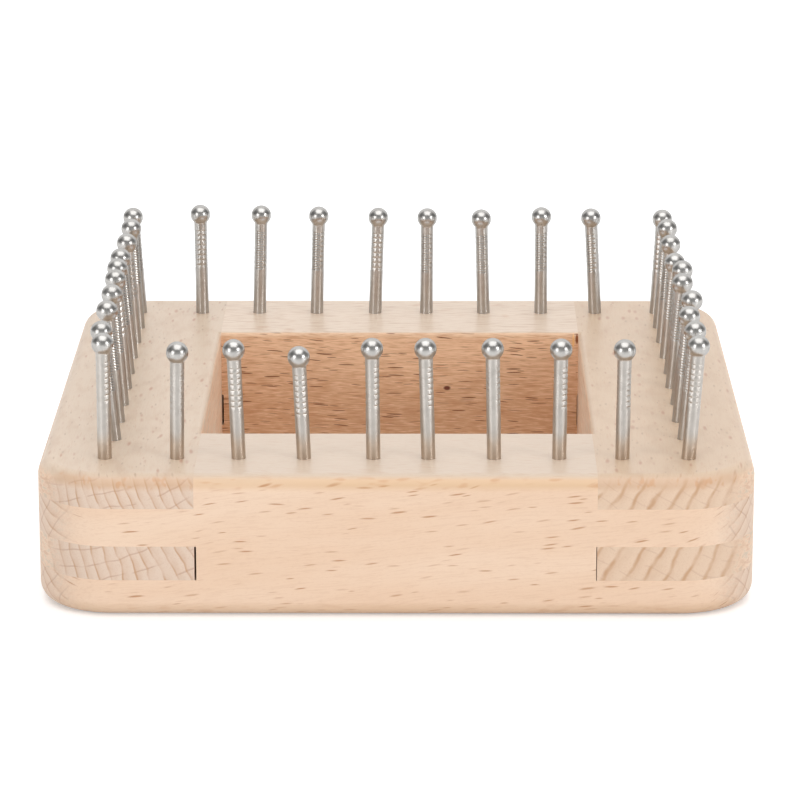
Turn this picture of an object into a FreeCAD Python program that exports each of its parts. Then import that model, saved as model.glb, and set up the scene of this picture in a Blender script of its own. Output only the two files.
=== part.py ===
import FreeCAD, Part
import math
import os
import Sketcher

# A square beech knitting board: four rails finger-jointed at the corners and a ring of
# ball-headed steel pins driven into its top. X runs to the right, Y to the back, Z up, and the
# underside lies on Z = 0. The board is centred on the origin.

os.makedirs("parts", exist_ok=True)
doc = FreeCAD.newDocument("knitting_board")

# Driving dimensions, in millimetres. Every feature below is bound to these cells.
SIZES = (
    ("board_side", 111.0, "outer side of the square board"),
    ("rail_width", 24.7, "width of one rail, which is also the side of a corner joint"),
    ("finger_top", 5.1, "height of the side rails' upper finger"),
    ("finger_second", 6.0, "height of the front and back rails' upper finger"),
    ("finger_third", 5.4, "height of the side rails' lower finger"),
    ("finger_bottom", 6.0, "height of the front and back rails' lower finger"),
    ("corner_radius", 12.0, "rounding of the board's corners, seen from above"),
    ("edge_round", 2.6, "rounding of the board's outer top and bottom edges"),
    ("window_ease", 1.0, "rounding of the window's top and bottom edges"),
    ("left_shoulder_gap", 0.3, "open seam beside the left rail's lower fingers"),
    ("right_shoulder_gap", 0.12, "open seam beside the right rail's lower fingers"),
    ("row_inset", 10.5, "from the board's outer side to the line of pins"),
    ("middle_space", 8.8, "between the two middle pins of a row"),
    ("hand_slip", 0.1, "unit of how far a pin driven by hand strays from its place"),
    ("shank_diameter", 2.2, "wire of a pin"),
    ("head_diameter", 3.45, "ball on a pin"),
    ("pin_rise", 19.15, "from the board to the top of a pin's ball"),
    ("pin_bite", 11.0, "length of a pin inside the wood"),
    ("point_length", 2.8, "cone at a pin's lower end"),
    ("pilot_fit", 0.02, "how much wider a pilot hole is than the wire"),
    ("pilot_spare", 1.5, "depth of a pilot hole below the pin's point"),
    ("grip_drop", 1.75, "from the ball's lowest point to the first grip mark"),
    ("grip_pitch", 0.85, "from one grip mark to the next"),
    ("grip_height", 0.4, "height of one grip mark"),
    ("grip_depth", 0.11, "depth of one grip mark"),
)
sheet = doc.addObject("Spreadsheet::Sheet", "Sizes")
for row, (alias, value, meaning) in enumerate(SIZES, start=1):
    sheet.set(f"A{row}", meaning)
    sheet.set(f"B{row}", str(value))
    sheet.setAlias(f"B{row}", alias)
doc.recompute()

GRIP_MARKS = 7
PINS_PER_ROW = 10

# Levels and distances that several features share, written as expressions of the cells.
LEVEL_BOTTOM = "Sizes.finger_bottom"
LEVEL_THIRD = f"({LEVEL_BOTTOM} + Sizes.finger_third)"
LEVEL_SECOND = f"({LEVEL_THIRD} + Sizes.finger_second)"
LEVEL_TOP = f"({LEVEL_SECOND} + Sizes.finger_top)"
HALF_BOARD = "(Sizes.board_side / 2)"
HALF_WINDOW = "(Sizes.board_side / 2 - Sizes.rail_width)"
FAR = "Sizes.board_side"


def origin_plane(body, role):
    """Return one of a body's own origin planes."""
    for feature in body.Origin.OriginFeatures:
        if feature.Role == role:
            return feature


def new_sketch(body, name, role="XY_Plane", level=None):
    """Add a sketch on an origin plane, lifted off it where a level is given."""
    sketch = body.newObject("Sketcher::SketchObject", name)
    sketch.AttachmentSupport = [(origin_plane(body, role), "")]
    sketch.MapMode = "FlatFace"
    if level:
        sketch.setExpression("AttachmentOffset.Base.z", level)
    return sketch


def hold_point(sketch, geometry, point, across, up):
    """Tie a point of the sketch to its distances from the sketch's origin."""
    for kind, distance in (("DistanceX", across), ("DistanceY", up)):
        index = sketch.addConstraint(Sketcher.Constraint(kind, -1, 1, geometry, point, 1.0))
        sketch.setExpression(f"Constraints[{index}]", distance)


def rectangle(sketch, left, right, low, high):
    """Draw a rectangle whose four sides are expressions; it starts as a unit square."""
    corners = [
        FreeCAD.Vector(0, 0, 0),
        FreeCAD.Vector(1, 0, 0),
        FreeCAD.Vector(1, 1, 0),
        FreeCAD.Vector(0, 1, 0),
    ]
    first = sketch.GeometryCount
    for side in range(4):
        sketch.addGeometry(Part.LineSegment(corners[side], corners[(side + 1) % 4]), False)
    for side in range(4):
        following = first + (side + 1) % 4
        sketch.addConstraint(Sketcher.Constraint("Coincident", first + side, 2, following, 1))
        direction = "Horizontal" if side % 2 == 0 else "Vertical"
        sketch.addConstraint(Sketcher.Constraint(direction, first + side))
    hold_point(sketch, first, 1, left, low)
    hold_point(sketch, first + 1, 2, right, high)


def pad(body, name, sketch, height):
    """Raise a sketch into a solid."""
    feature = body.newObject("PartDesign::Pad", name)
    feature.Profile = sketch
    feature.setExpression("Length", height)
    doc.recompute()
    return feature


def pocket_down(body, name, sketch, depth=None):
    """Cut a sketch downwards, through everything where no depth is given."""
    feature = body.newObject("PartDesign::Pocket", name)
    feature.Profile = sketch
    if depth:
        feature.setExpression("Length", depth)
    else:
        feature.Type = "ThroughAll"
        feature.Midplane = True
    before = feature.BaseFeature.Shape.Volume
    doc.recompute()
    if feature.Shape.Volume > before - 1.0:
        raise RuntimeError(f"{name} cuts nothing")
    return feature


def fillet(body, name, base, radius, choose):
    """Round the edges of the base feature that the choose function picks."""
    picked = [f"Edge{i}" for i, edge in enumerate(base.Shape.Edges, start=1) if choose(edge)]
    feature = body.newObject("PartDesign::Fillet", name)
    feature.Base = (base, picked)
    feature.setExpression("Radius", radius)
    doc.recompute()
    return feature


def is_upright(edge):
    """An edge that runs straight up."""
    box = edge.BoundBox
    return box.XLength < 0.001 and box.YLength < 0.001


def is_level(edge):
    """An edge that lies flat."""
    return edge.BoundBox.ZLength < 0.001


# A rail is cut from a finished square ring, because the real board is rounded after it is glued.
# A rail that runs across lies along X, and side is -1 for the front or left rail and 1 for the
# back or right one.
def make_rail(name, runs_across, side):
    """Build one rail with its fingers, and leave its pilot holes to a later cut."""
    body = doc.addObject("PartDesign::Body", f"{name}_blank")
    outline = new_sketch(body, f"{name}_outline")
    rectangle(outline, f"-{HALF_BOARD}", HALF_BOARD, f"-{HALF_BOARD}", HALF_BOARD)
    block = pad(body, f"{name}_block", outline, LEVEL_TOP)
    corners = fillet(body, f"{name}_corners", block, "Sizes.corner_radius", is_upright)
    edges = fillet(body, f"{name}_edges", corners, "Sizes.edge_round", is_level)

    opening = new_sketch(body, f"{name}_window")
    rectangle(opening, f"-{HALF_WINDOW}", HALF_WINDOW, f"-{HALF_WINDOW}", HALF_WINDOW)
    ring = pocket_down(body, f"{name}_ring", opening)

    def is_window_rim(edge):
        """A flat edge on the boundary of the window."""
        box = edge.BoundBox
        reach = max(abs(box.XMin), abs(box.XMax), abs(box.YMin), abs(box.YMax))
        window = sheet.board_side / 2 - sheet.rail_width
        return is_level(edge) and reach < window + 0.001

    eased = fillet(body, f"{name}_eased", ring, "Sizes.window_ease", is_window_rim)

    # Everything on the window's side of the rail belongs to the other rails.
    rest = new_sketch(body, f"{name}_rest")
    near = f"-{HALF_WINDOW}" if side < 0 else f"-{FAR}"
    far = FAR if side < 0 else HALF_WINDOW
    if runs_across:
        rectangle(rest, f"-{FAR}", FAR, near, far)
    else:
        rectangle(rest, near, far, f"-{FAR}", FAR)
    bar = pocket_down(body, f"{name}_bar", rest)

    # The other rails' fingers pass through two layers of each end.
    if runs_across:
        layers = (("top", LEVEL_TOP, "Sizes.finger_top", "0", "0"),
                  ("third", LEVEL_THIRD, "Sizes.finger_third",
                   "Sizes.left_shoulder_gap", "Sizes.right_shoulder_gap"))
    else:
        layers = (("second", LEVEL_SECOND, "Sizes.finger_second", "0", "0"),
                  ("bottom", LEVEL_BOTTOM, "Sizes.finger_bottom", "0", "0"))
    feature = bar
    for layer, level, height, first_gap, last_gap in layers:
        socket = new_sketch(body, f"{name}_{layer}_sockets", level=level)
        first_end = f"-{HALF_WINDOW} + {first_gap}"
        last_end = f"{HALF_WINDOW} - {last_gap}"
        if runs_across:
            rectangle(socket, f"-{FAR}", first_end, f"-{FAR}", FAR)
            rectangle(socket, last_end, FAR, f"-{FAR}", FAR)
        else:
            rectangle(socket, f"-{FAR}", FAR, f"-{FAR}", first_end)
            rectangle(socket, f"-{FAR}", FAR, last_end, FAR)
        feature = pocket_down(body, f"{name}_{layer}_fingers", socket, height)
    body.Tip = feature
    doc.recompute()
    return body


# A pin's own origin lies on its axis, level with the board's top. One pin is drawn, and every
# pin of the board is a copy of it with a placement of its own.
def make_master_pin():
    """Draw the pin: a pointed wire with a ball on top and grip marks under the ball."""
    body = doc.addObject("PartDesign::Body", "pin_master")
    radius = sheet.shank_diameter / 2
    ball = sheet.head_diameter / 2
    centre = sheet.pin_rise - ball
    profile = new_sketch(body, "pin_profile", "XZ_Plane")
    axis, wire = 0.0, radius
    tip = FreeCAD.Vector(axis, -sheet.pin_bite, 0)
    shoulder = FreeCAD.Vector(wire, sheet.point_length - sheet.pin_bite, 0)
    neck = FreeCAD.Vector(wire, centre - math.sqrt(ball ** 2 - radius ** 2), 0)
    crown = FreeCAD.Vector(axis, sheet.pin_rise, 0)
    start = math.atan2(neck.y - centre, wire)
    circle = Part.Circle(FreeCAD.Vector(axis, centre, 0), FreeCAD.Vector(0, 0, 1), ball)
    profile.addGeometry(Part.LineSegment(tip, shoulder), False)
    profile.addGeometry(Part.LineSegment(shoulder, neck), False)
    profile.addGeometry(Part.ArcOfCircle(circle, start, math.pi / 2), False)
    profile.addGeometry(Part.LineSegment(crown, tip), False)
    for joint in ((0, 2, 1, 1), (1, 2, 2, 1), (2, 2, 3, 1), (3, 2, 0, 1)):
        profile.addConstraint(Sketcher.Constraint("Coincident", *joint))
    profile.addConstraint(Sketcher.Constraint("Vertical", 1))
    profile.addConstraint(Sketcher.Constraint("Vertical", 3))
    profile.addConstraint(Sketcher.Constraint("PointOnObject", 2, 3, -2))
    rounding = profile.addConstraint(Sketcher.Constraint("Radius", 2, ball))
    profile.setExpression(f"Constraints[{rounding}]", "Sizes.head_diameter / 2")
    hold_point(profile, 0, 1, "0", "-Sizes.pin_bite")
    hold_point(profile, 1, 1, "Sizes.shank_diameter / 2", "Sizes.point_length - Sizes.pin_bite")
    top = profile.addConstraint(Sketcher.Constraint("DistanceY", -1, 1, 3, 1, sheet.pin_rise))
    profile.setExpression(f"Constraints[{top}]", "Sizes.pin_rise")
    turned = body.newObject("PartDesign::Revolution", "pin_turned")
    turned.Profile = profile
    turned.ReferenceAxis = (profile, ["V_Axis"])
    turned.Angle = 360.0
    doc.recompute()

    # The heading dies leave a row of shallow flat marks on two opposite sides of the wire.
    marks = new_sketch(body, "pin_marks", "XZ_Plane")
    mark_top = "Sizes.pin_rise - Sizes.head_diameter - Sizes.grip_drop"
    mark_low = f"{mark_top} - Sizes.grip_height"
    near = "Sizes.shank_diameter / 2 - Sizes.grip_depth"
    away = "Sizes.shank_diameter"
    rectangle(marks, near, away, mark_low, mark_top)
    rectangle(marks, f"-{away}", f"-({near})", mark_low, mark_top)
    notch = body.newObject("PartDesign::Pocket", "pin_mark")
    notch.Profile = marks
    notch.Type = "ThroughAll"
    notch.Midplane = True
    doc.recompute()
    pattern = body.newObject("PartDesign::LinearPattern", "pin_mark_row")
    pattern.Originals = [notch]
    pattern.Direction = (marks, ["V_Axis"])
    pattern.Reversed = True
    pattern.setExpression("Length", f"Sizes.grip_pitch * {GRIP_MARKS - 1}")
    pattern.Occurrences = GRIP_MARKS
    body.Tip = pattern
    doc.recompute()
    return body


def make_master_pilot():
    """Draw a drilled hole as the solid that is cut away, from its cone to well above the board."""
    body = doc.addObject("PartDesign::Body", "pilot_master")
    radius = (sheet.shank_diameter + sheet.pilot_fit) / 2
    depth = sheet.pin_bite + sheet.pilot_spare
    profile = new_sketch(body, "pilot_profile", "XZ_Plane")
    corners = [
        FreeCAD.Vector(0, -depth, 0),
        FreeCAD.Vector(radius, radius - depth, 0),
        FreeCAD.Vector(radius, sheet.pin_rise, 0),
        FreeCAD.Vector(0, sheet.pin_rise, 0),
    ]
    for side in range(4):
        profile.addGeometry(Part.LineSegment(corners[side], corners[(side + 1) % 4]), False)
    for side in range(4):
        following = (side + 1) % 4
        profile.addConstraint(Sketcher.Constraint("Coincident", side, 2, following, 1))
    profile.addConstraint(Sketcher.Constraint("Vertical", 1))
    profile.addConstraint(Sketcher.Constraint("Horizontal", 2))
    wall = "(Sizes.shank_diameter + Sizes.pilot_fit) / 2"
    bottom = "-Sizes.pin_bite - Sizes.pilot_spare"
    hold_point(profile, 0, 1, "0", bottom)
    hold_point(profile, 1, 1, wall, f"{bottom} + {wall}")
    hold_point(profile, 3, 1, "0", "Sizes.pin_rise")
    turned = body.newObject("PartDesign::Revolution", "pilot_turned")
    turned.Profile = profile
    turned.ReferenceAxis = (profile, ["V_Axis"])
    turned.Angle = 360.0
    body.Tip = turned
    doc.recompute()
    return body


# Each row of pins as read from the photograph, from left to right or from front to back. A pin has
# its slip along the row and across it, its lean to the right in degrees, and how much deeper than
# the others it is driven. Slips and depths count the sheet's hand_slip, a tenth of a millimetre.
ROWS = {
    "front": ((0, -1, 0, -8), (10, -1, 1, 6), (4, -1, -2, 2), (4, -1, -2.5, 13), (9, -1, -0.5, 0),
              (6, -1, -1.5, 0), (6, -1, -1, 0), (5, -1, 0.5, 1), (1, -1, 0.5, 2), (2, -1, 4, -5)),
    "back": ((-6, 1, -3.5, 3), (1, 1, -0.5, -2), (0, 1, 1.5, -1), (-1, 1, 1.5, 1), (0, 1, 2, 3),
             (2, 1, 0.5, 4), (1, 1, -1.5, 6), (0, 1, 0, 2), (-6, 1, -3, 4), (-1, 1, 3, 6)),
    "left": ((0, 7, -5.5, -1), (0, 5, -4.5, -8), (-1, 4, -4, -9), (-3, 2, -4, -9),
             (1, 0, -4.5, -5), (0, -1, -5, 2), (-3, -2, -3.5, 0), (-5, -3, -3, -2)),
    "right": ((6, 2, 4.5, 0), (5, -1, 4.5, 2), (4, 2, 7, 1), (3, 0, 4.5, -2),
              (2, 2, 5.5, -2), (2, 0, 4, 10), (2, 0, 3.5, 3), (0, 0, 3.5, -1)),
}
LINE = "(Sizes.board_side / 2 - Sizes.row_inset)"
STEP = f"(({LINE} - Sizes.middle_space / 2) / {PINS_PER_ROW // 2 - 1})"
TURN = 137.5


def along_row(place):
    """Distance of a pin from the middle of its row; places count 1 to 10."""
    half = PINS_PER_ROW // 2
    if place <= half:
        return f"(-Sizes.middle_space / 2 - {STEP} * {half - place})"
    return f"(Sizes.middle_space / 2 + {STEP} * {place - half - 1})"


def place_pins():
    """Yield the name, place, lean, turn and drive of every pin of the four rows."""
    count = 0
    for row, pins in ROWS.items():
        first = 1 + (PINS_PER_ROW - len(pins)) // 2
        for place, (slip, stray, lean, drive) in enumerate(pins, start=first):
            count += 1
            along = f"{along_row(place)} + {slip} * Sizes.hand_slip"
            near = "" if row in ("back", "right") else "-"
            across = f"{near}{LINE} + {stray} * Sizes.hand_slip"
            x, y = (along, across) if row in ("front", "back") else (across, along)
            yield f"pin_{row}_{place:02d}", x, y, lean, count * TURN, drive


def set_place(item, x, y, lean, turn, drive):
    """Put an object at a pin's place: turned about its own axis, then leant to the right."""
    upright = FreeCAD.Rotation(FreeCAD.Vector(0, 0, 1), turn)
    leaning = FreeCAD.Rotation(FreeCAD.Vector(0, 1, 0), lean)
    item.Placement = FreeCAD.Placement(FreeCAD.Vector(0, 0, 0), leaning * upright)
    item.setExpression("Placement.Base.x", x)
    item.setExpression("Placement.Base.y", y)
    item.setExpression("Placement.Base.z", f"{LEVEL_TOP} - {drive} * Sizes.hand_slip")


def copy_to_place(master, name, *place):
    """Copy a master body to a pin's place."""
    body = doc.addObject("PartDesign::Body", name)
    copy = body.newObject("PartDesign::FeatureBase", f"{name}_copy")
    copy.BaseFeature = master
    body.Tip = copy
    set_place(body, *place)
    return body


# The four blanks, and the ring of pins with a pilot hole for each.
blanks = {
    "front_rail": make_rail("front_rail", True, -1),
    "back_rail": make_rail("back_rail", True, 1),
    "left_rail": make_rail("left_rail", False, -1),
    "right_rail": make_rail("right_rail", False, 1),
}
master_pin = make_master_pin()
master_pilot = make_master_pilot()
pins = {}
pilots = []
for name, *place in place_pins():
    pins[name] = copy_to_place(master_pin, name, *place)
    pilots.append(copy_to_place(master_pilot, name.replace("pin", "pilot"), *place))
all_pilots = doc.addObject("Part::Compound", "pilot_holes")
all_pilots.Links = pilots

# Every hole is cut from every rail, so that the corner pins pass through both rails' fingers.
rails = {}
for name, body in blanks.items():
    drilled = doc.addObject("Part::Cut", name)
    drilled.Base = body
    drilled.Tool = all_pilots
    rails[name] = drilled
doc.recompute()

for item in doc.Objects:
    if "Invalid" in item.State or "Error" in item.State:
        raise RuntimeError(f"{item.Name} did not rebuild: {item.State}")

for name, item in {**rails, **pins}.items():
    item.Label = name
    shape = item.Shape
    if not shape.isValid() or len(shape.Solids) != 1:
        raise RuntimeError(f"{name} is not one valid solid")
    shape.exportStep(f"parts/{name}.step")
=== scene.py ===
import math
import bmesh
import bpy
import numpy as np
from mathutils import Matrix, Vector


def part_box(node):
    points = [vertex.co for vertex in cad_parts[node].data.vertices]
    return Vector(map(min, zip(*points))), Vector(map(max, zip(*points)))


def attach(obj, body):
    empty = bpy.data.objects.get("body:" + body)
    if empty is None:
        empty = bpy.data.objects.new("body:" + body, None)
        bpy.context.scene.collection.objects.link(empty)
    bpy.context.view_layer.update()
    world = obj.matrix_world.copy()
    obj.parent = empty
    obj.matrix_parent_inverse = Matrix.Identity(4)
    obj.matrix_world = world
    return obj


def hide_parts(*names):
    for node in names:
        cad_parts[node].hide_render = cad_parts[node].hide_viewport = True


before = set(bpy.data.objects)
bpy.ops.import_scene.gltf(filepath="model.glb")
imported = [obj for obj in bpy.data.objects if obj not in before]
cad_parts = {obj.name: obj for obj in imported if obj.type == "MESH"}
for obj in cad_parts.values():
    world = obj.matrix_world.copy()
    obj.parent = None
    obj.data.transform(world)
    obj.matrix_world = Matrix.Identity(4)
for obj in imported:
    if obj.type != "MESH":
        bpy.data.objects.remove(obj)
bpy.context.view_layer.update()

# The rails. Four bars of steamed beech, box-jointed and glued into a square, then rounded and
# sanded as one. Each keeps its CAD form; its copy here has its sharp edges rubbed down, which
# opens the hair-thin grooves that mark the joints.
RUB_DOWN = 0.00006
RUB_SEGMENTS = 2
SHARP_EDGE = math.radians(40)
FLAT_FACE = math.radians(0.3)
SAME_POINT = 1e-6


def rubbed_copy(node):
    """Merge the node's loose triangles into whole flat faces and chamfer each sharp edge."""
    form = bmesh.new()
    form.from_mesh(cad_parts[node].data)
    bmesh.ops.remove_doubles(form, verts=form.verts, dist=SAME_POINT)
    bmesh.ops.dissolve_limit(form, angle_limit=FLAT_FACE, verts=form.verts, edges=form.edges)
    mesh = bpy.data.meshes.new(f"{node}_wood")
    form.to_mesh(mesh)
    form.free()
    mesh.shade_smooth()
    piece = bpy.data.objects.new(f"{node}_wood", mesh)
    bpy.context.scene.collection.objects.link(piece)
    soften = piece.modifiers.new("rub_down", "BEVEL")
    soften.width = RUB_DOWN
    soften.segments = RUB_SEGMENTS
    soften.limit_method = "ANGLE"
    soften.angle_limit = SHARP_EDGE
    flatten = piece.modifiers.new("flat_faces", "WEIGHTED_NORMAL")
    flatten.weight = 100
    return piece


class Nodes:
    """The shader nodes of a material or of the world. Each call adds one and links its inputs."""

    def __init__(self, owner):
        owner.use_nodes = True
        self.tree = owner.node_tree
        self.tree.nodes.clear()

    def add(self, kind, inputs=None, **settings):
        """Add a node; an input is a value or the output of another node."""
        made = self.tree.nodes.new(f"ShaderNode{kind}")
        for key, value in settings.items():
            setattr(made, key, value)
        for key, value in (inputs or {}).items():
            if isinstance(value, bpy.types.NodeSocket):
                self.tree.links.new(value, made.inputs[key])
            else:
                made.inputs[key].default_value = value
        return made

    def math(self, operation, first, second=0.0, clamp=False):
        """One arithmetic step on two numbers."""
        return self.add("Math", {0: first, 1: second}, operation=operation, use_clamp=clamp).outputs[0]

    def product(self, first, *others):
        """Multiply any number of values."""
        for other in others:
            first = self.math("MULTIPLY", first, other)
        return first

    def vector(self, x, y, z):
        """Three numbers as one point."""
        return self.add("CombineXYZ", {0: x, 1: y, 2: z}).outputs[0]

    def stretch(self, point, x, y, z):
        """Divide a point's three numbers by three lengths."""
        return self.add("VectorMath", {0: point, 1: (x, y, z)}, operation="DIVIDE").outputs[0]

    def step(self, value, low, high, to_low=0.0, to_high=1.0):
        """A smooth step from to_low at low to to_high at high."""
        made = self.add("MapRange", {"Value": value, "From Min": low, "From Max": high,
                                     "To Min": to_low, "To Max": to_high},
                        interpolation_type="SMOOTHSTEP")
        return made.outputs["Result"]

    def noise(self, point, scale=1.0, detail=2.0):
        """Cloudy noise about 0.5, scale lumps to the unit of the point."""
        return self.add("TexNoise", {"Vector": point, "Scale": scale, "Detail": detail}).outputs[0]

    def blend(self, factor, first, second):
        """Mix two colours."""
        made = self.add("Mix", data_type="RGBA")
        for index, value in ((0, factor), (6, first), (7, second)):
            if isinstance(value, bpy.types.NodeSocket):
                self.tree.links.new(value, made.inputs[index])
            else:
                made.inputs[index].default_value = value
        return made.outputs[2]


def colour(red, green, blue):
    """A colour written 0 to 255, as the linear values that a shader takes."""
    parts = np.array([red, green, blue]) / 255
    curve = np.where(parts <= 0.04045, parts / 12.92, ((parts + 0.055) / 1.055) ** 2.4)
    return (*curve, 1.0)


# The tones of the wood: the planed faces, a painted shade for the faces that look sideways, the rubbed
# edges, and the rays, flecks and rings.
PALE_BEECH = colour(242, 214, 189)
ROSY_BEECH = colour(238, 207, 180)
SIDE_PAINTED_SHADE = colour(200, 188, 170)
BURNISHED = colour(223, 189, 154)
BURNISHED_END = colour(212, 180, 152)
SCORCHED = colour(208, 160, 122)
RAY_BROWN = colour(192, 140, 100)
TOP_RAY = colour(186, 140, 114)
TOP_SPECK = colour(164, 130, 104)
TOP_FIBRE = colour(192, 158, 130)
END_RAY = colour(198, 154, 118)
END_RING = colour(186, 142, 118)
# A cell holds one ray: its length along the grain, its width round the heart and its reach out
# from the heart, in millimetres.
FLECK_CELL = (4.6, 0.40, 13.0)
SPOT_CELL = (4.6, 1.15, 15.0)
SPECK_CELL = (2.8, 0.75, 15.0)
DRIFT = 2.2
DRIFT_SCALE = 0.035
YEAR_WIDTH = 2.6
PORE_DEPTH = 0.00002
PLANED_ROUGHNESS = 0.52
TOP_ROUGHNESS = 0.36
WOOD_IOR = 1.45
# Where the rounding of the front and back edges begins and ends, in metres from the middle.
EDGE_BEGINS = 0.0500
EDGE_ENDS = 0.0525
# The bounds, in metres from the middle, of the faces inside the window that a wall may colour.
WINDOW_X = (0.0316, 0.0314)
WINDOW_Y = (0.0324, 0.0322)


def grain_frame(wood, middle, along, heart):
    """Millimetres along the grain, round the heart and out from it, each with a slow drift.

    Along is the way the grain runs and heart a point on the tree's middle line, in metres.
    """
    along = Vector(along).normalized()
    out = Vector(middle) - Vector(heart)
    out = (out - along * out.dot(along)).normalized()
    turn = Matrix((along, out.cross(along), out))
    radius = (Vector(middle) - Vector(heart)).dot(out) * 1000
    position = wood.add("TexCoord").outputs["Object"]
    straight = wood.add("Mapping", {"Vector": position, "Rotation": turn.to_euler(),
                                    "Location": turn @ Vector(heart) * -1000,
                                    "Scale": (1000, 1000, 1000)}, vector_type="POINT").outputs[0]
    length, side, depth = wood.add("SeparateXYZ", {0: straight}).outputs
    drift = wood.add("TexNoise", {"Vector": straight, "Scale": DRIFT_SCALE, "Detail": 1.0}).outputs["Color"]
    drift_out, drift_round, _ = wood.add("SeparateColor", {0: drift}).outputs
    reach = wood.math("SQRT", wood.math("ADD", wood.product(side, side), wood.product(depth, depth)))
    reach = wood.math("ADD", reach, wood.product(drift_out, DRIFT))
    arc = wood.product(wood.math("ARCTAN2", side, depth), radius)
    arc = wood.math("ADD", arc, wood.product(drift_round, DRIFT))
    return wood.vector(length, arc, reach)


def ray_flecks(wood, grain, cell, soft):
    """Rays cut across, as on a face that looks at the heart: scattered thin brown lenses.

    A lens is the middle of a long thin cell, bent a little; its size and its darkness differ
    from cell to cell. Soft is how far its rim fades.
    """
    length, arc, reach = wood.add("SeparateXYZ", {0: grain}).outputs
    bend = wood.noise(wood.stretch(grain, 5.0, 2.0, 9.0), 1.0, 0.0)
    bent = wood.vector(length, wood.math("ADD", arc, wood.product(bend, 0.5)), reach)
    rays = wood.add("TexVoronoi", {"Vector": wood.stretch(bent, *cell), "Scale": 1.0}, feature="F1")
    luck, dark, _ = wood.add("SeparateColor", {0: rays.outputs["Color"]}).outputs
    half = wood.step(luck, 0.0, 1.0, 0.20, 0.38)
    lens = wood.math("SUBTRACT", 1.0, wood.math("DIVIDE", rays.outputs["Distance"], half), clamp=True)
    return wood.product(wood.step(lens, 0.0, soft), wood.step(dark, 0.20, 0.95))


def end_rays(wood, grain, gap, sharp):
    """Rays along a cut end: lines out from the heart, with a shade on one side of each line."""
    _, arc, reach = wood.add("SeparateXYZ", {0: grain}).outputs
    flat = wood.vector(0.0, arc, reach)
    sway = wood.product(wood.noise(flat, 0.20), 0.9)
    across = wood.math("FRACT", wood.math("ADD", wood.math("DIVIDE", arc, gap), sway))
    rise = wood.step(across, 0.0, sharp)
    line = wood.product(rise, wood.step(across, 0.24 + sharp, 0.02 + sharp))
    shade = wood.product(rise, wood.step(across, 0.90, 0.12), 0.38)
    patch = wood.noise(wood.vector(0.0, arc, wood.product(reach, 0.5)), 0.50)
    return wood.product(wood.math("MAXIMUM", line, shade), wood.step(patch, 0.32, 0.62, 0.25, 1.0))


def end_rings(wood, grain):
    """Growth rings across a cut end: thin wavy lines round the heart, broken here and there."""
    _, arc, reach = wood.add("SeparateXYZ", {0: grain}).outputs
    bend = wood.noise(wood.vector(0.0, arc, reach), 0.12)
    year = wood.math("FRACT", wood.math("ADD", wood.math("DIVIDE", reach, YEAR_WIDTH), bend))
    ring = wood.product(wood.step(year, 0.86, 0.95), wood.step(year, 1.0, 0.965))
    return wood.product(ring, wood.step(wood.noise(grain, 0.35, 1.0), 0.36, 0.54))


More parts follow.
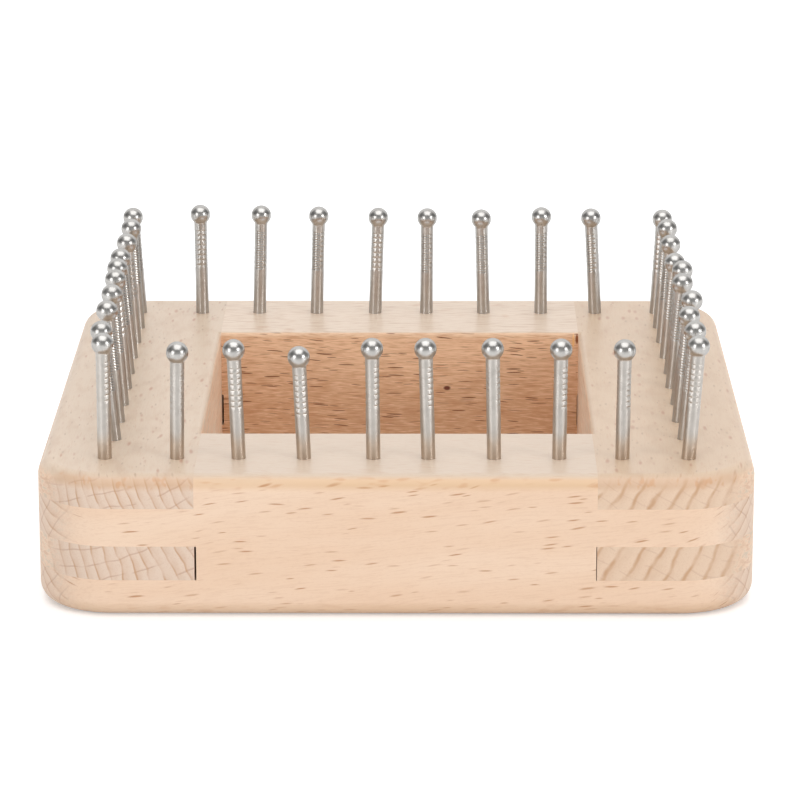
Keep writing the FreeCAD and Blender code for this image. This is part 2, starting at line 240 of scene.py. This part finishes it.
def beech(name, middle, along, heart, top_tone, end_tone, rim=BURNISHED, ray_gap=1.75, ray_edge=0.07,
          rings=0.5, spotted=0.0, combed=0.0, wall=None):
    """Beech as a solid: rays run out from the heart through the rings, whichever way it is cut.

    Top_tone and end_tone are the colours of the top and of the cut ends, and rim that of the
    rubbed edge between them. Ray_gap and ray_edge are the distance and the softness of the rays
    on a cut end, and rings is how strong its rings are. Spotted and combed are how much of the
    flecks and of the long streaks the top shows. Wall colours the inner face, if it differs.
    """
    material = bpy.data.materials.new(name)
    wood = Nodes(material)
    grain = grain_frame(wood, middle, along, heart)
    place = wood.add("TexCoord")
    x, y, z = wood.add("SeparateXYZ", {0: place.outputs["Object"]}).outputs
    facing_x, facing_y, facing_z = wood.add("SeparateXYZ", {0: place.outputs["Normal"]}).outputs
    ending = wood.add("VectorMath", {0: place.outputs["Normal"], 1: Vector(along).normalized()},
                      operation="DOT_PRODUCT").outputs["Value"]
    end = wood.step(wood.math("ABSOLUTE", ending), 0.40, 0.90)
    top = wood.step(facing_z, 0.35, 0.80)
    level = wood.math("ABSOLUTE", facing_z)
    outer = wood.step(wood.math("ABSOLUTE", y), EDGE_BEGINS, EDGE_ENDS)
    edge = wood.product(wood.step(level, 0.05, 0.50), wood.step(level, 0.97, 0.70), outer,
                        wood.step(facing_z, -0.4, 0.0, 0.4, 1.0),
                        wood.step(wood.math("ABSOLUTE", facing_y), 0.15, 0.35))

    broad = wood.noise(wood.stretch(grain, 40.0, 6.0, 6.0))
    streak = wood.noise(wood.stretch(grain, 3.2, 0.24, 0.24), 1.0, 3.0)
    pore = wood.noise(wood.stretch(grain, 0.6, 0.14, 0.14), 1.0, 2.0)
    tint = wood.blend(wood.step(broad, 0.35, 0.65), PALE_BEECH, ROSY_BEECH)
    sideways = wood.step(wood.math("ABSOLUTE", facing_x), 0.4, 0.9)
    # On the faces that look sideways one noise lays both the broad ray flakes of the wood and patches of
    # painted shade.
    flakes_and_shade = wood.noise(wood.stretch(grain, 9.0, 0.7, 0.5), 1.0, 3.0)
    tint = wood.blend(wood.product(sideways, wood.step(flakes_and_shade, 0.46, 0.66, 0.0, 0.40)), tint, RAY_BROWN)
    # Painted shade: the faces that look to the left and right are darkened and greyed in patches.
    tint = wood.blend(wood.product(sideways, wood.step(flakes_and_shade, 0.52, 0.34, 0.0, 0.60)), tint, SIDE_PAINTED_SHADE)
    tint = wood.blend(wood.product(top, 0.95), tint, top_tone)
    tint = wood.blend(wood.product(end, 0.95), tint, end_tone)
    tint = wood.blend(wood.step(streak, 0.45, 0.72, 0.0, 0.12), tint, RAY_BROWN)
    tint = wood.blend(wood.step(pore, 0.50, 0.75, 0.0, 0.10), tint, RAY_BROWN)
    if combed:
        comb = wood.noise(wood.stretch(grain, 4.0, 0.26, 0.26), 1.0, 2.0)
        tint = wood.blend(wood.product(top, combed, wood.step(comb, 0.50, 0.70)), tint, TOP_FIBRE)
    if spotted:
        cloud = wood.noise(wood.stretch(grain, 5.0, 2.2, 6.0), 1.0, 3.0)
        cloud = wood.product(top, spotted, wood.step(cloud, 0.45, 0.72, 0.0, 0.32))
        tint = wood.blend(cloud, tint, TOP_FIBRE)
        spots = ray_flecks(wood, grain, SPOT_CELL, 0.8)
        tint = wood.blend(wood.product(top, spotted, spots, 0.9), tint, TOP_RAY)
        specks = ray_flecks(wood, grain, SPECK_CELL, 0.9)
        tint = wood.blend(wood.product(top, spotted, specks, 0.6), tint, TOP_SPECK)
    tint = wood.blend(wood.product(edge, wood.step(broad, 0.30, 0.55, 0.7, 1.0)), tint, rim)
    smears = wood.step(wood.noise(wood.stretch(grain, 3.5, 1.2, 1.2), 1.0, 1.0), 0.56, 0.72)
    tint = wood.blend(wood.product(edge, smears, 0.7), tint, SCORCHED)
    tint = wood.blend(wood.product(end, end_rings(wood, grain), rings), tint, END_RING)
    tint = wood.blend(wood.product(end, end_rays(wood, grain, ray_gap, ray_edge), 0.85), tint, END_RAY)

    fleck = ray_flecks(wood, grain, FLECK_CELL, 0.7)
    on_long = wood.product(wood.step(end, 0.2, 0.9, 0.95, 0.0), wood.step(top, 0.0, 1.0, 1.0, 0.25),
                           wood.step(sideways, 0.0, 1.0, 1.0, 0.35))
    tint = wood.blend(wood.product(fleck, on_long), tint, RAY_BROWN)
    if wall:
        inside = wood.product(wood.step(level, 0.96, 0.80),
                              wood.step(wood.math("ABSOLUTE", x), *WINDOW_X),
                              wood.step(wood.math("ABSOLUTE", y), *WINDOW_Y))
        tint = wood.blend(inside, tint, wall(wood, grain, x, z))

    height = wood.math("SUBTRACT", wood.product(streak, 0.4), fleck)
    bump = wood.add("Bump", {"Height": height, "Strength": 0.3, "Distance": PORE_DEPTH})
    gloss = wood.step(top, 0.0, 1.0, PLANED_ROUGHNESS, TOP_ROUGHNESS)
    shader = wood.add("BsdfPrincipled", {"Base Color": tint, "Roughness": gloss, "IOR": WOOD_IOR,
                                         "Normal": bump.outputs[0]})
    wood.add("OutputMaterial", {"Surface": shader.outputs[0]})
    return material


# The back rail's inner face was left as the saw made it: orange-brown, with crisp dark rays, a small knot
# and splinters torn out at its upper corners. Its orange-brown is partly the sawn wood's own tone and
# partly painted shade, and its darkening downwards, deeper into the window, is painted shade.
WALL_FOOT = 0.0080
WALL_TOP = 0.0215
DASH_CELL = (4.2, 0.26, 15.0)
WALL_HIGH = colour(234, 192, 156)
WALL_PAINTED_SHADE = colour(206, 158, 120)
WALL_PALE = colour(248, 210, 176)
WALL_DARK = colour(184, 128, 88)
WALL_EDGE = colour(224, 186, 152)
WALL_RAY = colour(116, 64, 32)
# Each spot: its place to the right and up, its half width and half height, and its colour.
WALL_SPOTS = (
    (0.0082, 0.01265, 0.00065, 0.00042, colour(106, 48, 26)),
    (0.0300, 0.0211, 0.00022, 0.00120, colour(240, 190, 130)),
    (0.0306, 0.0214, 0.00028, 0.00090, colour(140, 84, 48)),
    (-0.0312, 0.0203, 0.00010, 0.00110, colour(124, 78, 52)),
)


def sawn_and_shaded_wall(wood, grain, x, z):
    """Rough orange-brown fibres with painted shade that darkens them downwards from the top edge, and the
    dark rays among them.
    """
    # Painted shade: the wall is darker towards its foot and lighter towards its top.
    tint = wood.blend(wood.step(z, WALL_FOOT, WALL_TOP), WALL_PAINTED_SHADE, WALL_HIGH)
    tint = wood.blend(wood.step(z, 0.0212, 0.0220), tint, WALL_EDGE)
    fibre = wood.noise(wood.stretch(grain, 5.0, 0.45, 0.45), 1.0, 3.0)
    tint = wood.blend(wood.step(fibre, 0.48, 0.70, 0.0, 0.35), tint, WALL_DARK)
    tint = wood.blend(wood.step(fibre, 0.48, 0.30, 0.0, 0.30), tint, WALL_PALE)
    torn = wood.noise(wood.stretch(grain, 2.2, 0.15, 0.15), 1.0, 2.0)
    tint = wood.blend(wood.step(torn, 0.48, 0.72, 0.0, 0.55), tint, WALL_DARK)
    tint = wood.blend(wood.step(torn, 0.48, 0.30, 0.0, 0.45), tint, WALL_PALE)
    dashes = ray_flecks(wood, grain, DASH_CELL, 0.25)
    tint = wood.blend(dashes, tint, WALL_RAY)
    for across, up, half_width, half_height, shade in WALL_SPOTS:
        off = wood.vector(wood.math("DIVIDE", wood.math("SUBTRACT", x, across), half_width), 0.0,
                          wood.math("DIVIDE", wood.math("SUBTRACT", z, up), half_height))
        away = wood.add("VectorMath", {0: off}, operation="LENGTH").outputs["Value"]
        tint = wood.blend(wood.step(away, 1.2, 0.6), tint, shade)
    return tint


# How each rail was cut: the run of its grain, a point on the heart, and what its faces show.
RAILS = {
    "front_rail": dict(along=(1, 0, 0.105), heart=(0, 0.020, 0.068), top_tone=colour(213, 194, 175),
                       end_tone=colour(231, 207, 187), combed=0.25),
    "back_rail": dict(along=(1, 0, -0.03), heart=(0, 0.135, 0.030), top_tone=colour(223, 203, 183),
                      end_tone=colour(231, 207, 187), combed=0.75, wall=sawn_and_shaded_wall),
    "left_rail": dict(along=(0, 1, 0.0), heart=(-0.065, 0, 0.084), top_tone=colour(211, 190, 168),
                      end_tone=colour(228, 206, 188), rim=BURNISHED_END, spotted=1.0),
    "right_rail": dict(along=(0, 1, 0.0), heart=(0.091, 0, 0.104), top_tone=colour(209, 184, 158),
                       end_tone=colour(229, 202, 177), rim=BURNISHED_END, ray_gap=2.6, ray_edge=0.20,
                       rings=0.22, spotted=0.9),
}
for node, timber in RAILS.items():
    piece = rubbed_copy(node)
    low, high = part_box(node)
    piece.data.materials.clear()
    middle = (low + high) / 2
    piece.data.materials.append(beech(f"beech_{node}", middle, **timber))
    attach(piece, "root")
    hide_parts(node)

# The pins. Nickel-plated steel wire, headed cold into a ball and cut to a point, then driven into
# the rails. The jaws that held the wire left a ladder of shallow grooves on two opposite sides,
# and finer ones between.
WIRE_RADIUS = 0.0011
BALL_RADIUS = 0.001718
NECK_ROUND = 0.0004
BITE = 0.011
RISE = 0.01914
POINT = 0.0028
LADDER_TOP = 0.0044
PITCH = 0.00088
MARKS = 8
MARK_DEPTH = 0.000092
FINE_DEPTH = 0.00010
# A notch's cut over its length, as shares of its depth and of the pitch, and the ladder's ends.
NOTCH_ALONG = (0.0, 0.2, 0.5, 0.7, 0.85, 1.0)
NOTCH_CUT = (1.0, 0.58, 0.14, 0.0, 0.25, 1.0)
FIRST_LEDGE = 0.001
LAST_SLOPE = 0.30
# Where a side's notches begin, round the pin, as the cosine of the angle from its middle, and how
# soon they are full; then where they grow shallow again, how soon, and by how much. Then the same
# for the sides between, as a sine.
SIDE_BEGINS, SIDE_FADE = 0.64, 0.16
MIDDLE_BEGINS, MIDDLE_FADE, MIDDLE_LOSS = 0.93, 0.05, 0.6
BETWEEN_BEGINS, BETWEEN_FADE = 0.75, 0.15
# How deep the finer notches of the front row are, as a share of those of the other rows.
FRONT_FINE = 0.15
# The rows of points along each length of the profile, and how many stand round it.
CONE_ROWS = np.array([0.0, 0.3, 0.65, 1.0])
WIRE_ROWS = 7
MARK_ROWS = 16
COLLAR_ROWS = 12
HOLLOW_ROWS = 6
BALL_ROWS = 30
AROUND = 48
# How far each pin's ladder is turned to the right of the board's front, in degrees.
TURNS = {
    "front": (60, 90, 6, 0, 60, 55, 90, 60, 70, -4),
    "back": (-60, 6, 80, 72, 3, 75, 80, 75, 45, -58),
    "left": (-42, -38, -44, 62, -36, -42, 75, -40),
    "right": (86, 88, 84, 80, 75, 88, 62, 85),
}


def pin_profile():
    """Radius over height, from the point to the crown, and the row where the ball begins.

    A cone, then the wire, with many rows where the grooves are, then a hollow round of radius
    NECK_ROUND that touches both wire and ball, then the ball's arc.
    """
    centre = RISE - BALL_RADIUS
    outward = WIRE_RADIUS + NECK_ROUND
    below = math.sqrt((BALL_RADIUS + NECK_ROUND) ** 2 - outward ** 2)
    meet = math.atan2(outward, below)
    ladder_foot = RISE - LADDER_TOP - PITCH * MARKS
    wire = np.concatenate([
        np.linspace(POINT - BITE, ladder_foot, WIRE_ROWS)[1:-1],
        np.linspace(ladder_foot, RISE - LADDER_TOP, MARK_ROWS * MARKS + 1),
        np.linspace(RISE - LADDER_TOP, centre - below, COLLAR_ROWS)[1:-1],
    ])
    hollow = np.linspace(0, math.pi / 2 - meet, HOLLOW_ROWS)
    ball = np.linspace(meet, math.pi, BALL_ROWS)[1:]
    height = np.concatenate([
        CONE_ROWS * POINT - BITE, wire, centre - below + NECK_ROUND * np.sin(hollow),
        centre - BALL_RADIUS * np.cos(ball),
    ])
    radius = np.concatenate([
        CONE_ROWS * WIRE_RADIUS, np.full(len(wire), WIRE_RADIUS), outward - NECK_ROUND * np.cos(hollow),
        BALL_RADIUS * np.sin(ball),
    ])
    radius[-1] = 0.0
    return height, radius, len(height) - len(ball)


def pin_surface(tip, crown, turn, fine_depth):
    """The profile turned about the pin's axis, less the grooves on its sides.

    Each groove is a notch: a short ledge at its top, then a long slope that runs out downwards. It
    is deepest a little to the left and right of the middle of its side, and fades beyond. On the
    two sides between, the notches are half as long.
    """
    height, radius, ball_row = pin_profile()
    angle = np.linspace(0, 2 * math.pi, AROUND, endpoint=False)
    towards = np.abs(np.cos(angle - turn))
    middle = np.clip((towards - MIDDLE_BEGINS) / MIDDLE_FADE, 0, 1)
    side = np.clip((towards - SIDE_BEGINS) / SIDE_FADE, 0, 1) * (1 - MIDDLE_LOSS * middle)
    beside = np.abs(np.sin(angle - turn))
    between = np.clip((beside - BETWEEN_BEGINS) / BETWEEN_FADE, 0, 1)
    phase = (RISE - LADDER_TOP - height) / PITCH
    marked = (phase > FIRST_LEDGE) & (phase < MARKS - LAST_SLOPE)
    coarse = np.where(marked, np.interp(phase % 1, NOTCH_ALONG, NOTCH_CUT), 0)
    fine = np.where(marked, np.interp(2 * phase % 1, NOTCH_ALONG, NOTCH_CUT), 0)
    cut = MARK_DEPTH * coarse[:, None] * side[None] + fine_depth * fine[:, None] * between[None]
    grid = radius[:, None] - cut
    axis = (crown - tip) / np.linalg.norm(crown - tip)
    across = np.cross([0, 1, 0], axis)
    across = across / np.linalg.norm(across)
    back = np.cross(axis, across)
    ring = np.cos(angle)[:, None] * across + np.sin(angle)[:, None] * back
    foot = tip + axis * BITE
    return foot + axis * height[:, None, None] + grid[..., None] * ring[None], ball_row


def skin(name, points, ball_row):
    """Close a grid of rings into a skin; the first and the last ring have shrunk to a point."""
    rows, around = points.shape[:2]
    inner = points[1:-1].reshape(-1, 3)
    verts = np.concatenate([points[0, :1], inner, points[-1, :1]])
    index = 1 + np.arange((rows - 2) * around).reshape(rows - 2, around)
    beside = np.roll(index, -1, axis=1)
    quads = np.stack([index[:-1], beside[:-1], beside[1:], index[1:]], axis=-1).reshape(-1, 4)
    last = len(verts) - 1
    low = np.stack([np.zeros(around, int), beside[0], index[0]], axis=-1)
    high = np.stack([np.full(around, last), index[-1], beside[-1]], axis=-1)
    mesh = bpy.data.meshes.new(name)
    mesh.from_pydata(verts.tolist(), [], quads.tolist() + low.tolist() + high.tolist())
    on_ball = np.repeat(np.arange(1, rows - 2) >= ball_row, around)
    on_ball = np.concatenate([on_ball, np.zeros(around, bool), np.ones(around, bool)])
    mesh.polygons.foreach_set("material_index", on_ball.astype(np.int32))
    mesh.shade_smooth()
    return mesh


# The plate: its cloudy stain, and the heights between which the foot of a wire carries a painted reflection
# of the wood round it.
STAIN = colour(120, 112, 104)
STAIN_SCALE = 900.0
STAIN_SHARE = 0.15
FOOT = (0.0272, 0.0245)
FOOT_SHARE = 0.35


def nickel(name, plate, roughness, spread, rim, painted_reflection=None):
    """Nickel plate, a little cloudy. Spread scatters light further along the wire than round it.

    Rim is how bright a glancing reflection is; the last colour, if given, is laid on the foot of the wire
    as a painted reflection of the wood round it.
    """
    material = bpy.data.materials.new(name)
    metal = Nodes(material)
    position = metal.add("TexCoord").outputs["Object"]
    cloud = metal.noise(position, STAIN_SCALE)
    cloud = metal.product(metal.step(cloud, 0.35, 0.70), STAIN_SHARE)
    tone = metal.blend(cloud, colour(*plate), STAIN)
    if painted_reflection:
        # Painted reflection: the foot of the wire takes the colour of the wood it would mirror.
        _, _, height = metal.add("SeparateXYZ", {0: position}).outputs
        tone = metal.blend(metal.step(height, *FOOT, 0.0, FOOT_SHARE), tone, painted_reflection)
    shader = metal.add("BsdfPrincipled", {"Base Color": tone, "Metallic": 1.0, "Roughness": roughness,
                                          "Specular Tint": (rim, rim, rim, 1.0),
                                          "Anisotropic": spread, "Tangent": metal.vector(0, 0, 1)})
    metal.add("OutputMaterial", {"Surface": shader.outputs[0]})
    return material


# The front row's wires scatter light more evenly and carry a painted reflection of the wood at their foot,
# so they have a plate of their own.
# The colour painted on the foot of the front wires as a reflection of the wood.
PAINTED_WOOD_REFLECTION = colour(206, 178, 148)
drawn_wire = nickel("nickel_wire", plate=(196, 193, 189), roughness=0.30, spread=0.75, rim=0.50)
front_wire = nickel("nickel_wire_front", plate=(190, 185, 179), roughness=0.37, spread=0.10, rim=0.90,
                    painted_reflection=PAINTED_WOOD_REFLECTION)
rolled_ball = nickel("nickel_ball", plate=(187, 185, 182), roughness=0.28, spread=0.0, rim=0.75)
for row, turns in TURNS.items():
    nodes = sorted(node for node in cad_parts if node.startswith(f"pin_{row}"))
    for node, turn in zip(nodes, turns):
        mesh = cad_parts[node].data
        points = np.zeros(len(mesh.vertices) * 3)
        mesh.vertices.foreach_get("co", points)
        points = points.reshape(-1, 3)
        tip = points[points[:, 2].argmin()]
        crown = points[np.linalg.norm(points - tip, axis=1).argmax()]
        fine_depth = FINE_DEPTH * (FRONT_FINE if row == "front" else 1.0)
        shape, ball_row = pin_surface(tip, crown, math.radians(turn - 90), fine_depth)
        piece = bpy.data.objects.new(f"nickel_{node}", skin(node, shape, ball_row))
        bpy.context.scene.collection.objects.link(piece)
        piece.data.materials.append(front_wire if row == "front" else drawn_wire)
        piece.data.materials.append(rolled_ball)
        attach(piece, "root")
        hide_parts(node)

# The studio. A white sheet of paper under the board, a large soft light overhead and a soft light
# at each side of the front, the right one with a brighter middle. Their reflections are the bright
# patches on the pins.
REACH = 3.0
NEAR_LIFT = 0.34
FAR_LIFT = 0.94
FRONT_LIFT = 0.3
floor_mesh = bpy.data.meshes.new("floor")
corners = [(-REACH, -REACH, 0), (REACH, -REACH, 0), (REACH, REACH, 0), (-REACH, REACH, 0)]
floor_mesh.from_pydata(corners, [], [(0, 1, 2, 3)])
floor = bpy.data.objects.new("floor", floor_mesh)
bpy.context.scene.collection.objects.link(floor)
white_paper = bpy.data.materials.new("white_paper")
paper = Nodes(white_paper)
path = paper.add("LightPath")
seen = paper.math("ADD", path.outputs["Is Camera Ray"], path.outputs["Is Glossy Ray"], clamp=True)
seen = paper.math("ADD", seen, path.outputs["Is Transmission Ray"], clamp=True)
# Near the board the sheet is lifted a little towards white, which keeps the board's shadow, and
# further off it is lifted more. The lift fades out far off and towards the camera.
spot = paper.add("TexCoord").outputs["Object"]
_, back, _ = paper.add("SeparateXYZ", {0: spot}).outputs
away = paper.add("VectorMath", {0: spot}, operation="LENGTH").outputs["Value"]
lift = paper.product(paper.step(away, 0.10, 0.50, NEAR_LIFT, FAR_LIFT), paper.step(away, 0.85, 0.60),
                     paper.step(back, -0.22, -0.14, FRONT_LIFT, 1.0))
matt = paper.add("BsdfPrincipled", {"Base Color": (0.8, 0.8, 0.8, 1.0), "Roughness": 0.4, "IOR": 1.5})
glow = paper.add("Emission", {"Color": (1, 1, 1, 1), "Strength": paper.product(seen, lift)})
both = paper.add("AddShader", {0: matt.outputs[0], 1: glow.outputs[0]})
paper.add("OutputMaterial", {"Surface": both.outputs[0]})
floor_mesh.materials.append(white_paper)

# The room: a white sweep behind the board, a pale ceiling, a white horizon, and dim between them.
# Behind and above are a direction's shares towards the back and upwards.
SWEEP_DIM = 0.26
SWEEP_BRIGHT = 1.55
CEILING = 0.60
studio = bpy.data.worlds.new("studio")
bpy.context.scene.world = studio
room = Nodes(studio)
_, behind, above = room.add("SeparateXYZ", {0: room.add("TexCoord").outputs["Generated"]}).outputs
front_dim = room.step(behind, -0.90, -0.50, 0.50, 1.0)
back_dim = room.step(behind, 0.10, 0.50, 1.0, 0.50)
horizon = room.product(room.step(above, 0.085, 0.17, 1.0, 0.0), front_dim, back_dim)
sweep = room.math("ADD", behind, room.product(above, 0.35))
sweep = room.product(room.step(sweep, 0.42, 0.78, SWEEP_DIM, SWEEP_BRIGHT),
                     room.step(above, 0.0, 0.22, 0.40, 1.0))
ceiling = room.step(above, 0.56, 0.72, 0.0, CEILING)
camera_side = room.product(room.step(behind, -0.72, -0.92), room.step(above, 0.56, 0.46, 0.0, CEILING))
light = room.math("MAXIMUM", horizon, sweep)
light = room.math("MAXIMUM", light, room.math("MAXIMUM", ceiling, camera_side))
air = room.add("Background", {"Strength": light})
room.add("OutputWorld", {0: air.outputs[0]})


def soft_light(name, place, aim, width, height, power):
    """A rectangular soft light at a place, turned towards a point and left out of the picture.

    Width and height are in metres and power is in watts.
    """
    lamp = bpy.data.lights.new(name, "AREA")
    lamp.shape = "RECTANGLE"
    lamp.size, lamp.size_y, lamp.energy = width, height, power
    holder = bpy.data.objects.new(name, lamp)
    holder.location = place
    holder.rotation_mode = "QUATERNION"
    holder.rotation_quaternion = (Vector(aim) - Vector(place)).to_track_quat("-Z", "Y")
    holder.visible_camera = False
    bpy.context.scene.collection.objects.link(holder)


PINS_MIDDLE = (0, 0, 0.03)
soft_light("overhead_soft", (0.04, -0.35, 1.0), (0.04, -0.35, 0), width=1.12, height=1.10, power=6.8)
soft_light("left_soft", (-0.74, -0.78, 0.26), PINS_MIDDLE, width=0.45, height=0.45, power=2.4)
soft_light("right_soft", (0.83, -0.66, 0.33), PINS_MIDDLE, width=0.45, height=0.45, power=1.7)
soft_light("right_core", (0.82, -0.652, 0.326), PINS_MIDDLE, width=0.15, height=0.15, power=1.2)

# The camera. A long lens, a little to the right of the middle, looking down at the board. Its
# focal length in pixels, its angles and its place were fitted to the photograph.
SENSOR = 36.0
PICTURE_WIDTH = 800
LENS_PIXELS = 4057.0
CAMERA_PLACE = (0.00513, -0.64609, 0.20055)
CAMERA_TURN = (15.684, -0.429, 0.069)
camera = bpy.data.cameras.new("camera")
camera.sensor_width = SENSOR
camera.lens = SENSOR * LENS_PIXELS / PICTURE_WIDTH
camera.clip_start, camera.clip_end = 0.05, 20.0
pitch, yaw, roll = (math.radians(angle) for angle in CAMERA_TURN)
ahead = Vector((math.sin(yaw) * math.cos(pitch), math.cos(yaw) * math.cos(pitch), -math.sin(pitch)))
beside = Vector((math.cos(yaw), -math.sin(yaw), 0))
down = ahead.cross(beside)
right = beside * math.cos(roll) + down * math.sin(roll)
up = -(down * math.cos(roll) - beside * math.sin(roll))
view = bpy.data.objects.new("camera", camera)
view.matrix_world = Matrix((right, up, -ahead)).transposed().to_4x4()
view.location = CAMERA_PLACE
bpy.context.scene.collection.objects.link(view)
bpy.context.scene.camera = view
bpy.context.scene.view_settings.view_transform = "Standard"
